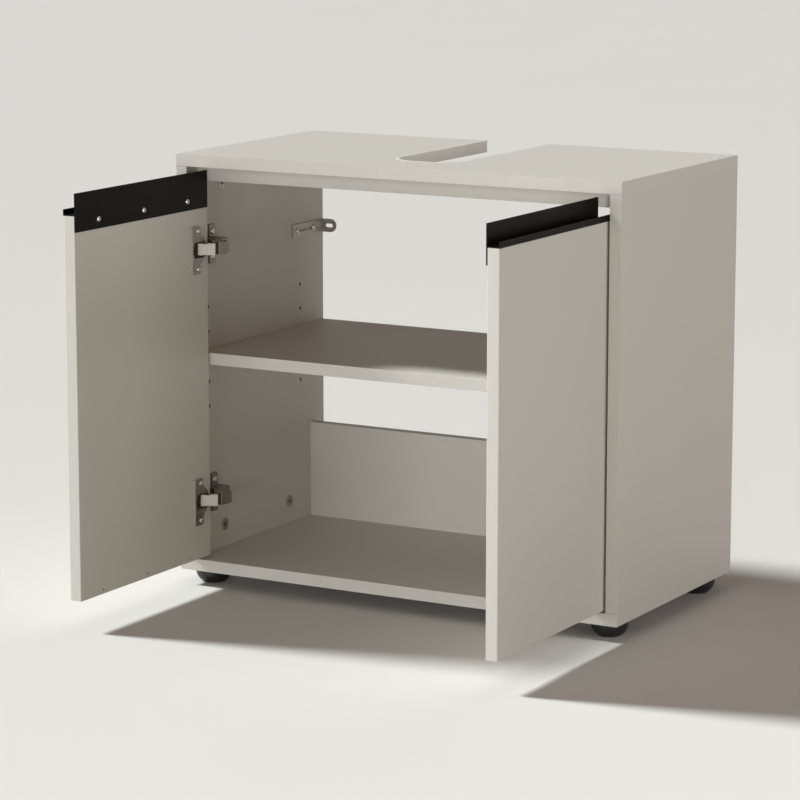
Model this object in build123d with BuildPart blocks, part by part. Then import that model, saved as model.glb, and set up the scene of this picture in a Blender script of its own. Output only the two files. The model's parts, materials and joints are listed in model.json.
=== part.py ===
from build123d import *
from math import cos, radians, sin
import os

# Two-door base cabinet for a basin: a carcass of melamine boards on four glides, with an
# open back, one shelf, a U-shaped cut-out for the siphon in the top board, and two inset
# doors shown open at a right angle on cup hinges. Millimetres, +Z up, front towards -Y,
# left is -X. The origin is on the floor, in the middle of the whole footprint.

os.makedirs("parts", exist_ok=True)

# ---------------------------------------------------------------- carcass sizes
carcass_width = 615.0
carcass_depth = 330.0
carcass_height = 530.0
board = 15.0
foot_height = 20.0
interior_setback = 22.0        # front faces of the rail and the shelf behind the carcass front
fit = 0.05                     # all-round clearance of a pin, screw or dowel in its bore

# ---------------------------------------------------------------- doors
door_board = 15.0
door_edge_round = 1.0
closed_side_gap = 3.5          # door edge to the side panel, door closed
closed_setback = 3.0           # door face behind the carcass front, door closed
centre_gap = 3.0               # between the two closed doors
open_side_gap = 3.0            # door face to the side panel, door open
open_retract = 19.0            # hinge edge behind the carcass front, door open
door_floor_gap = 3.0           # door to the bottom board
door_ceiling_gap = 32.0        # door to the top board, the hand hole of the grip

# ---------------------------------------------------------------- grip profiles
grip_sheet = 1.5
grip_plate_overlap = 19.5      # plate on the back of the door, below the door's top edge
grip_plate_rise = 27.0         # plate above the door's top edge
grip_lip_rise = 7.5
grip_lip_proud = 1.0           # lip in front of the door's face
grip_end_inset = 2.0           # profile short of the hinge edge
grip_notch = 13.0              # right plate cut back here, above its ledge
grip_screw_first = 47.5        # from the hinge edge
grip_screw_spacing = 96.0
grip_screw_drop = 8.0          # below the door's top edge
pilot_rise = 5.0               # unused screw pilots above the door's bottom edge
pilot_radius = 1.5
pilot_depth = 8.0

# ---------------------------------------------------------------- inner boards
shelf_top = 278.0              # above the carcass underside
shelf_side_gap = 0.4
rail_height = 19.0
strip_height = 127.0
strip_inset = 19.0             # rear strip in front of the carcass back

# ---------------------------------------------------------------- siphon cut-out
cutout_width = 92.0
cutout_front = 71.0            # behind the carcass front
cutout_radius = 36.0
trim_sheet = 1.5
trim_rise = 0.2                # its bead above the top board
trim_edge_round = 0.15

# ---------------------------------------------------------------- drilling pattern
pitch = 32.0                   # the usual row-hole grid
pin_hole_radius = 2.5
pin_hole_depth = 9.0
pin_front_column = 47.0
pin_column_spacing = 7 * pitch
pin_hole_rows = 2              # holes above and below the one that the shelf uses
pin_drop = 10.0                # the used hole below the top of the shelf
pin_length = 17.0
pin_notch_play = 0.2

# ---------------------------------------------------------------- cam fittings and dowels
cam_radius = 7.5
cam_depth = 12.5
cam_rim_radius = 8.25
cam_rim = 0.6
cam_cross_length = 8.0
cam_cross_width = 1.6
cam_cross_depth = 2.0
cam_drop = 29.0                # cam axis to the end of the side panel
cam_front_column = 81.0
cam_column_spacing = 5 * pitch
cam_bolt_thread_radius = 2.5
cam_bolt_thread_length = 10.5
cam_bolt_shank_radius = 3.5
cam_bolt_bore_radius = 4.0
cam_bolt_head_radius = 3.0
cam_bolt_reach = 3.0           # bolt head past the cam's axis
cam_mouth_radius = 3.8
cam_mouth_reach = 4.0          # mouth for the bolt, past the cam's axis
dowel_radius = 4.0
dowel_in_face = 10.0
dowel_in_end = 20.0
dowel_offset = 32.0            # dowel to its cam fitting
strip_lower_dowel = 30.0
strip_upper_dowel = 97.0

# ---------------------------------------------------------------- feet
foot_radius = 23.2
foot_sole_radius = 13.5
foot_rim = 3.0
foot_bulge = 2.6               # of the rounded flank between the sole and the rim
foot_side_inset = 26.5
foot_front_inset = 36.0
foot_back_inset = 44.0
foot_screw_radius = 2.0
foot_screw_head_radius = 4.0
foot_screw_head = 3.0
foot_recess_radius = 5.0
foot_recess_depth = 11.0
foot_screw_bite = 11.0

# ---------------------------------------------------------------- wall brackets
bracket_sheet = 2.0
bracket_height = 17.5
bracket_leg = 79.0
bracket_tab = 21.5
bracket_drop = 125.5           # below the carcass top
bracket_front_screw = 69.0     # these two are in front of the carcass back
bracket_rear_screw = 28.0
bracket_slot_radius = 1.6
bracket_screw_radius = 1.5
bracket_screw_head_radius = 3.4
bracket_screw_head = 2.2
bracket_screw_round = 0.7
bracket_screw_bite = 10.5
wall_slot_inset = 10.9         # slot centre to the side panel
wall_slot_length = 11.0
wall_slot_width = 5.0

# ---------------------------------------------------------------- cup hinges
hinge_drop = 71.0              # upper hinges below the door's top edge
hinge_rise = 74.0              # lower hinges above the door's bottom edge
plate_column = 54.0
plate_sheet = 2.5
plate_wing = 13.0
plate_height = 50.0
plate_corner = 1.5
plate_screw_radius = 2.4
plate_screw_head_radius = 4.2
plate_screw_head = 1.6
plate_screw_bite = 10.0
spine_front = 40.0
spine_back = 68.0
spine_height = 15.0
spine_rise = 8.0
arm_height = 15.2
arm_wall = 1.4
arm_rise = 20.5                # the low rear part, with the two adjusting screws
arm_rise_front = 43.0
arm_rise_back = 61.5
arm_outline = [                # inset from the side panel and depth behind the carcass front
    (spine_rise, spine_front),
    (22.0, 23.0),
    (25.0, 18.5),
    (34.6, 18.5),
    (35.4, 19.5),
    (37.2, 39.0),
    (arm_rise, arm_rise_front),
    (arm_rise, arm_rise_back),
    (12.0, spine_back),
    (spine_rise, spine_back),
]
arm_hollow = [                 # the same way, open towards the side panel
    (0.0, 22.0),
    (34.2, 22.0),
    (35.8, 37.9),
    (arm_rise - arm_wall, 41.9),
    (arm_rise - arm_wall, arm_rise_back),
    (0.0, arm_rise_back),
]
arm_rivet_place = (34.0, 33.5)
arm_rivet_radius = 1.1
arm_rivet_rise = 1.3
nose_radius = 1.95             # the arm's tongue round the link's pivot
nose_height = 11.2
nose_root = 21.5               # the tongue runs back into the arm's head this far
arm_front_screw = 47.5
arm_rear_screw = 57.0
arm_screw_radius = 2.0
arm_screw_head_radius = 3.2
arm_screw_head = 1.2
arm_screw_end = 2.0

cup_radius = 17.5
cup_edge_distance = 3.0
cup_depth = 13.2
cup_wall = 0.8
cup_slot_height = 20.0
cup_flange = 3.3
cup_flange_height = 60.0
cup_flange_far = 39.3          # these four lie this far from the door's hinge edge
cup_ear_near = 20.8
cup_neck_near = 10.9
cup_screw_column = 26.5
cup_ear_foot = 38.0            # height where the ear turns into the neck
cup_neck_height = 17.0
cup_corner = 4.0
cup_screw_spacing = 48.0
cup_screw_radius = 1.8
cup_screw_head_radius = 3.4
cup_screw_head = 1.6
cup_screw_bite = 10.0

pivot_inset = 28.9             # link pivot from the side panel
pivot_depth = 10.2             # and behind the carcass front
link_open_angle = -146.0       # direction of the left link, door open and door closed
link_closed_angle = -186.0
link_length = 16.6
link_tail = 5.0
link_sheet = 1.2
link_web = 3.5                 # outer face of the web from the pivot line
link_height = 15.0
link_waist = 13.4
link_heel = 3.0                # cheeks below the pivot line
link_cheek = 4.5
link_toe_start = 10.6
link_toe_end = 14.6
link_toe = 0.6
link_pin_radius = 1.1
link_toe_pin_radius = 0.6
link_toe_pin_reach = 12.6      # from the pivot, along the link
link_toe_pin_rise = 1.5        # off that line, towards the web

# ---------------------------------------------------------------- screws of the grips
grip_screw_radius = 1.7
grip_screw_head_radius = 3.4
grip_screw_head = 1.8
grip_screw_bite = 11.0

# ---------------------------------------------------------------- worked out from the above
half = carcass_width / 2
inner_half = half - board
middle_of_side = inner_half + board / 2
underside = foot_height
floor_top = underside + board
lid_top = underside + carcass_height
lid_under = lid_top - board
side_length = lid_under - floor_top

door_width = inner_half - closed_side_gap - centre_gap / 2
door_bottom = floor_top + door_floor_gap
door_top = lid_under - door_ceiling_gap
door_face = open_side_gap                       # insets from the side panel, door open
door_back = open_side_gap + door_board
front_y = (door_width - open_retract - carcass_depth) / 2
back_y = front_y + carcass_depth

# The cup hinge carries the door about a line that stays put: this far in from the side
# panel and this far behind the carcass front. It takes the closed door to the open one.
swing_inset = (open_side_gap - closed_setback + open_retract + closed_side_gap) / 2
swing_depth = (open_retract + closed_side_gap - open_side_gap + closed_setback) / 2

sides = {"left": -1, "right": 1}
hinge_rows = {"upper": door_top - hinge_drop, "lower": door_bottom + hinge_rise}
cam_columns = (cam_front_column, cam_front_column + cam_column_spacing)
dowel_columns = (cam_columns[0] - dowel_offset, cam_columns[1] + dowel_offset)
arm_screw_columns = (arm_front_screw, arm_rear_screw)
strip_dowel_rows = (strip_lower_dowel, strip_upper_dowel)
bracket_screw_columns = [carcass_depth - inset for inset in (bracket_front_screw, bracket_rear_screw)]
bracket_z = lid_top - bracket_drop
pin_z = underside + shelf_top - pin_drop
pin_columns = (pin_front_column, pin_front_column + pin_column_spacing)
grip_screw_columns = [grip_screw_first + grip_screw_spacing * n for n in range(3)]


def side_x(hand, inset):
    """X at a distance in from the inner face of one side panel."""
    return hand * (inner_half - inset)


def depth_y(depth):
    """Y at a distance behind the carcass front."""
    return front_y + depth


def door_y(distance):
    """Y at a distance from the hinge edge of an open door."""
    return depth_y(open_retract - distance)


def block(x_ends, y_ends, z_ends, mode=Mode.ADD):
    """A box between two corners, in the part that is being built."""
    spans = (x_ends, y_ends, z_ends)
    with Locations(tuple(sum(ends) / 2 for ends in spans)):
        Box(*[abs(ends[1] - ends[0]) for ends in spans], mode=mode)


def rod(start, direction, radius, length, mode=Mode.ADD):
    """A cylinder from a point, along a direction, in the part that is being built."""
    with Locations(Plane(origin=start, z_dir=direction)):
        Cylinder(radius, length, align=(Align.CENTER, Align.CENTER, Align.MIN), mode=mode)


def bore(start, direction, radius, length):
    """A hole for a rod of this radius, with the fit around it."""
    rod(start, direction, radius + fit, length, mode=Mode.SUBTRACT)


# ================================================================ carcass boards
def edge_joint_bores(face_z, into):
    """Bores in the face of the top or bottom board for the side panels' bolts and dowels."""
    for hand in sides.values():
        for column in cam_columns:
            start = (hand * middle_of_side, depth_y(column), face_z)
            bore(start, (0, 0, into), cam_bolt_thread_radius, cam_bolt_thread_length + fit)
        for column in dowel_columns:
            start = (hand * middle_of_side, depth_y(column), face_z)
            bore(start, (0, 0, into), dowel_radius, dowel_in_face + fit)


def cutout_outline(inset, overrun):
    """The U of the siphon cut-out, this far inside its edge and past the back."""
    length = carcass_depth - cutout_front - inset + overrun
    with Locations((0, back_y + overrun - length / 2)):
        Rectangle(cutout_width - 2 * inset, length)
    fillet(vertices().group_by(Axis.Y)[0], radius=cutout_radius - inset)


with BuildPart() as top_board:
    block((-half, half), (front_y, back_y), (lid_under, lid_top))
    with BuildSketch(Plane.XY.offset(lid_under)):
        cutout_outline(0, board)
    extrude(amount=board, mode=Mode.SUBTRACT)
    edge_joint_bores(lid_under, 1)
top_board.part.label = "top_board"
export_step(top_board.part, "parts/top_board.step")

with BuildPart() as cutout_trim:
    with BuildSketch(Plane.XY.offset(lid_under)):
        cutout_outline(0, 0)
    extrude(amount=board + trim_rise)
    with BuildSketch(Plane.XY.offset(lid_under)):
        cutout_outline(trim_sheet, board)
    extrude(amount=board + trim_rise, mode=Mode.SUBTRACT)
    bead_rims = cutout_trim.edges().group_by(Axis.Z)[-1]
    fillet(bead_rims.filter_by(lambda edge: edge.center().Y < back_y - fit), radius=trim_edge_round)
cutout_trim.part.label = "cutout_trim"
export_step(cutout_trim.part, "parts/cutout_trim.step")

with BuildPart() as bottom_board:
    block((-half, half), (front_y, back_y), (underside, floor_top))
    edge_joint_bores(floor_top, -1)
    for hand in sides.values():
        for foot_y in (front_y + foot_front_inset, back_y - foot_back_inset):
            start = (hand * (half - foot_side_inset), foot_y, underside)
            bore(start, (0, 0, 1), foot_screw_radius, foot_screw_bite + fit)
bottom_board.part.label = "bottom_board"
export_step(bottom_board.part, "parts/bottom_board.step")

for side, hand in sides.items():
    into_side = (hand, 0, 0)
    with BuildPart() as side_panel:
        block((hand * inner_half, hand * half), (front_y, back_y), (floor_top, lid_under))
        for column in pin_columns:
            for step in range(-pin_hole_rows, pin_hole_rows + 1):
                start = (hand * inner_half, depth_y(column), pin_z + step * pitch)
                bore(start, into_side, pin_hole_radius, pin_hole_depth + fit)
        for end_z, inward in ((floor_top, 1), (lid_under, -1)):
            for column in cam_columns:
                cam_z = end_z + inward * cam_drop
                start = (hand * inner_half, depth_y(column), cam_z)
                bore(start, into_side, cam_radius, cam_depth + fit)
                start = (hand * middle_of_side, depth_y(column), end_z)
                bore(start, (0, 0, inward), cam_bolt_bore_radius, cam_drop)
            for column in dowel_columns:
                start = (hand * middle_of_side, depth_y(column), end_z)
                bore(start, (0, 0, inward), dowel_radius, dowel_in_end + fit)
        for row in hinge_rows.values():
            for offset in (-pitch / 2, pitch / 2):
                start = (hand * inner_half, depth_y(plate_column), row + offset)
                bore(start, into_side, plate_screw_radius, plate_screw_bite + fit)
        for column in bracket_screw_columns:
            start = (hand * inner_half, depth_y(column), bracket_z)
            bore(start, into_side, bracket_screw_radius, bracket_screw_bite + fit)
        rail_middle = (depth_y(interior_setback + board / 2), lid_under - rail_height / 2)
        bore((hand * inner_half, *rail_middle), into_side, dowel_radius, dowel_in_face + fit)
        for row in strip_dowel_rows:
            start = (hand * inner_half, back_y - strip_inset - board / 2, floor_top + row)
            bore(start, into_side, dowel_radius, dowel_in_face + fit)
    side_panel.part.label = f"{side}_side_panel"
    export_step(side_panel.part, f"parts/{side}_side_panel.step")

with BuildPart() as shelf:
    shelf_half = inner_half - shelf_side_gap
    shelf_z = underside + shelf_top
    block((-shelf_half, shelf_half), (depth_y(interior_setback), back_y), (shelf_z - board, shelf_z))
    for hand in sides.values():
        for column in pin_columns:
            reach = pin_length - pin_hole_depth + pin_notch_play
            notch_half = pin_hole_radius + pin_notch_play
            notch_y = depth_y(column)
            block(
                (side_x(hand, reach), hand * inner_half),
                (notch_y - notch_half, notch_y + notch_half),
                (shelf_z - board, pin_z + pin_hole_radius),
                mode=Mode.SUBTRACT,
            )
shelf.part.label = "shelf"
export_step(shelf.part, "parts/shelf.step")

with BuildPart() as front_rail:
    rail_y = (depth_y(interior_setback), depth_y(interior_setback + board))
    rail_z = (lid_under - rail_height, lid_under)
    block((-inner_half, inner_half), rail_y, rail_z)
    for hand in sides.values():
        start = (hand * inner_half, sum(rail_y) / 2, sum(rail_z) / 2)
        bore(start, (-hand, 0, 0), dowel_radius, dowel_in_end + fit)
front_rail.part.label = "front_rail"
export_step(front_rail.part, "parts/front_rail.step")

with BuildPart() as rear_strip:
    strip_y = (back_y - strip_inset - board, back_y - strip_inset)
    block((-inner_half, inner_half), strip_y, (floor_top, floor_top + strip_height))
    for hand in sides.values():
        for row in strip_dowel_rows:
            start = (hand * inner_half, sum(strip_y) / 2, floor_top + row)
            bore(start, (-hand, 0, 0), dowel_radius, dowel_in_end + fit)
rear_strip.part.label = "rear_strip"
export_step(rear_strip.part, "parts/rear_strip.step")

# ================================================================ carcass fittings
with BuildPart() as cam_housings:
    for hand in sides.values():
        for end_z, inward in ((floor_top, 1), (lid_under, -1)):
            for column in cam_columns:
                cam_z = end_z + inward * cam_drop
                cam_y = depth_y(column)
                rod((side_x(hand, cam_rim), cam_y, cam_z), (hand, 0, 0), cam_rim_radius, cam_rim)
                rod((hand * inner_half, cam_y, cam_z), (hand, 0, 0), cam_radius, cam_depth)
                cross_x = (side_x(hand, cam_rim), side_x(hand, cam_rim - cam_cross_depth))
                for length, height in (
                    (cam_cross_length, cam_cross_width),
                    (cam_cross_width, cam_cross_length),
                ):
                    block(
                        cross_x,
                        (cam_y - length / 2, cam_y + length / 2),
                        (cam_z - height / 2, cam_z + height / 2),
                        mode=Mode.SUBTRACT,
                    )
                start = (hand * middle_of_side, cam_y, cam_z + inward * cam_mouth_reach)
                rod(start, (0, 0, -inward), cam_mouth_radius, cam_drop, mode=Mode.SUBTRACT)
cam_housings.part.label = "cam_housings"
export_step(cam_housings.part, "parts/cam_housings.step")

with BuildPart() as cam_bolts:
    for hand in sides.values():
        for end_z, inward in ((floor_top, 1), (lid_under, -1)):
            for column in cam_columns:
                start = (hand * middle_of_side, depth_y(column), end_z)
                rod(start, (0, 0, -inward), cam_bolt_thread_radius, cam_bolt_thread_length)
                shank = cam_drop - cam_radius
                rod(start, (0, 0, inward), cam_bolt_shank_radius, shank)
                rod(start, (0, 0, inward), cam_bolt_head_radius, cam_drop + cam_bolt_reach)
cam_bolts.part.label = "cam_bolts"
export_step(cam_bolts.part, "parts/cam_bolts.step")

with BuildPart() as carcass_dowels:
    for hand in sides.values():
        for end_z, inward in ((floor_top, 1), (lid_under, -1)):
            for column in dowel_columns:
                start = (hand * middle_of_side, depth_y(column), end_z - inward * dowel_in_face)
                rod(start, (0, 0, inward), dowel_radius, dowel_in_face + dowel_in_end)
carcass_dowels.part.label = "carcass_dowels"
export_step(carcass_dowels.part, "parts/carcass_dowels.step")

with BuildPart() as rail_dowels:
    for hand in sides.values():
        start = (hand * (inner_half + dowel_in_face), sum(rail_y) / 2, sum(rail_z) / 2)
        rod(start, (-hand, 0, 0), dowel_radius, dowel_in_face + dowel_in_end)
rail_dowels.part.label = "rail_dowels"
export_step(rail_dowels.part, "parts/rail_dowels.step")

with BuildPart() as strip_dowels:
    for hand in sides.values():
        for row in strip_dowel_rows:
            start = (hand * (inner_half + dowel_in_face), sum(strip_y) / 2, floor_top + row)
            rod(start, (-hand, 0, 0), dowel_radius, dowel_in_face + dowel_in_end)
strip_dowels.part.label = "strip_dowels"
export_step(strip_dowels.part, "parts/strip_dowels.step")

with BuildPart() as shelf_pins:
    for hand in sides.values():
        for column in pin_columns:
            start = (hand * (inner_half + pin_hole_depth), depth_y(column), pin_z)
            rod(start, (-hand, 0, 0), pin_hole_radius, pin_length)
shelf_pins.part.label = "shelf_pins"
export_step(shelf_pins.part, "parts/shelf_pins.step")

# ================================================================ feet
for place, foot_y in (("front", front_y + foot_front_inset), ("rear", back_y - foot_back_inset)):
    for side, hand in sides.items():
        foot_x = hand * (half - foot_side_inset)
        with BuildPart() as foot:
            with BuildSketch(Plane((foot_x, foot_y, 0), x_dir=(1, 0, 0), z_dir=(0, -1, 0))):
                with BuildLine():
                    shoulder = foot_height - foot_rim
                    Line((0, 0), (foot_sole_radius, 0))
                    SagittaArc((foot_sole_radius, 0), (foot_radius, shoulder), -foot_bulge)
                    Line((foot_radius, shoulder), (foot_radius, foot_height))
                    Line((foot_radius, foot_height), (0, foot_height))
                    Line((0, foot_height), (0, 0))
                make_face()
            revolve(axis=Axis((foot_x, foot_y, 0), (0, 0, 1)))
            bore((foot_x, foot_y, 0), (0, 0, 1), foot_screw_radius, foot_height)
            rod((foot_x, foot_y, 0), (0, 0, 1), foot_recess_radius, foot_recess_depth, Mode.SUBTRACT)
        foot.part.label = f"{place}_{side}_foot"
        export_step(foot.part, f"parts/{place}_{side}_foot.step")

with BuildPart() as foot_screws:
    for hand in sides.values():
        for foot_y in (front_y + foot_front_inset, back_y - foot_back_inset):
            seat = (hand * (half - foot_side_inset), foot_y, foot_recess_depth)
            rod(seat, (0, 0, -1), foot_screw_head_radius, foot_screw_head)
            length = foot_height - foot_recess_depth + foot_screw_bite
            rod(seat, (0, 0, 1), foot_screw_radius, length)
foot_screws.part.label = "foot_screws"
export_step(foot_screws.part, "parts/foot_screws.step")

# ================================================================ wall brackets
for side, hand in sides.items():
    with BuildPart() as wall_bracket:
        block(
            (side_x(hand, bracket_sheet), hand * inner_half),
            (back_y - bracket_leg, back_y),
            (bracket_z - bracket_height / 2, bracket_z + bracket_height / 2),
        )
        with BuildSketch(Plane((side_x(hand, 0), back_y, bracket_z), (-hand, 0, 0), (0, -1, 0))):
            straight = bracket_tab - bracket_height / 2
            with Locations((straight / 2, 0)):
                Rectangle(straight, bracket_height)
            with Locations((straight, 0)):
                Circle(bracket_height / 2)
            with Locations((wall_slot_inset, 0)):
                SlotOverall(wall_slot_length, wall_slot_width, mode=Mode.SUBTRACT)
        extrude(amount=bracket_sheet)
        slot_middle = sum(bracket_screw_columns) / 2
        slot_run = bracket_screw_columns[1] - bracket_screw_columns[0]
        slot_plane = Plane((hand * inner_half, depth_y(slot_middle), bracket_z), (0, 1, 0), (-hand, 0, 0))
        with BuildSketch(slot_plane):
            SlotCenterToCenter(slot_run, 2 * bracket_slot_radius)
        extrude(amount=bracket_sheet, mode=Mode.SUBTRACT)
    wall_bracket.part.label = f"{side}_wall_bracket"
    export_step(wall_bracket.part, f"parts/{side}_wall_bracket.step")

with BuildPart() as wall_bracket_screws:
    for hand in sides.values():
        for column in bracket_screw_columns:
            seat = (side_x(hand, bracket_sheet), depth_y(column), bracket_z)
            rod(seat, (-hand, 0, 0), bracket_screw_head_radius, bracket_screw_head)
            rod(seat, (hand, 0, 0), bracket_screw_radius, bracket_sheet + bracket_screw_bite)
    fillet(
        wall_bracket_screws.edges().filter_by(GeomType.CIRCLE).filter_by(
            lambda edge: abs(abs((edge @ 0).X) - side_x(1, bracket_sheet + bracket_screw_head)) < fit
        ),
        radius=bracket_screw_round,
    )
wall_bracket_screws.part.label = "wall_bracket_screws"
export_step(wall_bracket_screws.part, "parts/wall_bracket_screws.step")

# ================================================================ cup hinges, fixed half
for side, hand in sides.items():
    into_side, out_of_side = (hand, 0, 0), (-hand, 0, 0)
    plate_y = depth_y(plate_column)
    for level, hinge_z in hinge_rows.items():
        with BuildPart() as mounting_plate:
            wing_plane = Plane((hand * inner_half, plate_y, hinge_z), (0, 1, 0), out_of_side)
            with BuildSketch(wing_plane):
                Rectangle(plate_wing, plate_height)
                fillet(vertices(), radius=plate_corner)
            extrude(amount=plate_sheet)
            block(
                (hand * inner_half, side_x(hand, spine_rise)),
                (depth_y(spine_front), depth_y(spine_back)),
                (hinge_z - spine_height / 2, hinge_z + spine_height / 2),
            )
            for offset in (-pitch / 2, pitch / 2):
                start = (side_x(hand, plate_sheet), plate_y, hinge_z + offset)
                bore(start, into_side, plate_screw_radius, plate_sheet)
            for column in arm_screw_columns:
                start = (side_x(hand, spine_rise), depth_y(column), hinge_z)
                bore(start, into_side, arm_screw_radius, spine_rise - arm_screw_end + fit)
        mounting_plate.part.label = f"{side}_{level}_mounting_plate"
        export_step(mounting_plate.part, f"parts/{side}_{level}_mounting_plate.step")

        with BuildPart() as hinge_arm:
            arm_z = (hinge_z - arm_height / 2, hinge_z + arm_height / 2)
            with BuildSketch(Plane.XY.offset(arm_z[0])):
                Polygon(*[(side_x(hand, u), depth_y(v)) for u, v in arm_outline], align=None)
            extrude(amount=arm_height)
            with BuildSketch(Plane.XY.offset(arm_z[0] + arm_wall)):
                Polygon(*[(side_x(hand, u), depth_y(v)) for u, v in arm_hollow], align=None)
            extrude(amount=arm_height - 2 * arm_wall, mode=Mode.SUBTRACT)
            nose_start = (side_x(hand, pivot_inset), depth_y(pivot_depth), hinge_z - nose_height / 2)
            rod(nose_start, (0, 0, 1), nose_radius, nose_height)
            block(
                (side_x(hand, pivot_inset - nose_radius), side_x(hand, pivot_inset + nose_radius)),
                (depth_y(pivot_depth), depth_y(nose_root)),
                (hinge_z - nose_height / 2, hinge_z + nose_height / 2),
            )
            bore(nose_start, (0, 0, 1), link_pin_radius, nose_height)
            rivet_inset, rivet_depth = arm_rivet_place
            start = (side_x(hand, rivet_inset), depth_y(rivet_depth), arm_z[0] - arm_rivet_rise)
            rod(start, (0, 0, 1), arm_rivet_radius, arm_height + 2 * arm_rivet_rise)
            for column in arm_screw_columns:
                start = (side_x(hand, arm_rise), depth_y(column), hinge_z)
                bore(start, into_side, arm_screw_radius, arm_wall)
        hinge_arm.part.label = f"{side}_{level}_hinge_arm"
        export_step(hinge_arm.part, f"parts/{side}_{level}_hinge_arm.step")

with BuildPart() as hinge_pins:
    for hand in sides.values():
        for row in hinge_rows.values():
            start = (side_x(hand, pivot_inset), depth_y(pivot_depth), row - link_height / 2)
            rod(start, (0, 0, 1), link_pin_radius, link_height)
hinge_pins.part.label = "hinge_pins"
export_step(hinge_pins.part, "parts/hinge_pins.step")

with BuildPart() as mounting_plate_screws:
    for hand in sides.values():
        for row in hinge_rows.values():
            for offset in (-pitch / 2, pitch / 2):
                seat = (side_x(hand, plate_sheet), depth_y(plate_column), row + offset)
                rod(seat, (-hand, 0, 0), plate_screw_head_radius, plate_screw_head)
                rod(seat, (hand, 0, 0), plate_screw_radius, plate_sheet + plate_screw_bite)
mounting_plate_screws.part.label = "mounting_plate_screws"
export_step(mounting_plate_screws.part, "parts/mounting_plate_screws.step")

with BuildPart() as hinge_adjusting_screws:
    for hand in sides.values():
        for row in hinge_rows.values():
            for column in arm_screw_columns:
                seat = (side_x(hand, arm_rise), depth_y(column), row)
                rod(seat, (-hand, 0, 0), arm_screw_head_radius, arm_screw_head)
                rod(seat, (hand, 0, 0), arm_screw_radius, arm_rise - arm_screw_end)
hinge_adjusting_screws.part.label = "hinge_adjusting_screws"
export_step(hinge_adjusting_screws.part, "parts/hinge_adjusting_screws.step")

# ================================================================ doors
cup_centre = cup_edge_distance + cup_radius
grip_screw_z = door_top - grip_screw_drop

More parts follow.
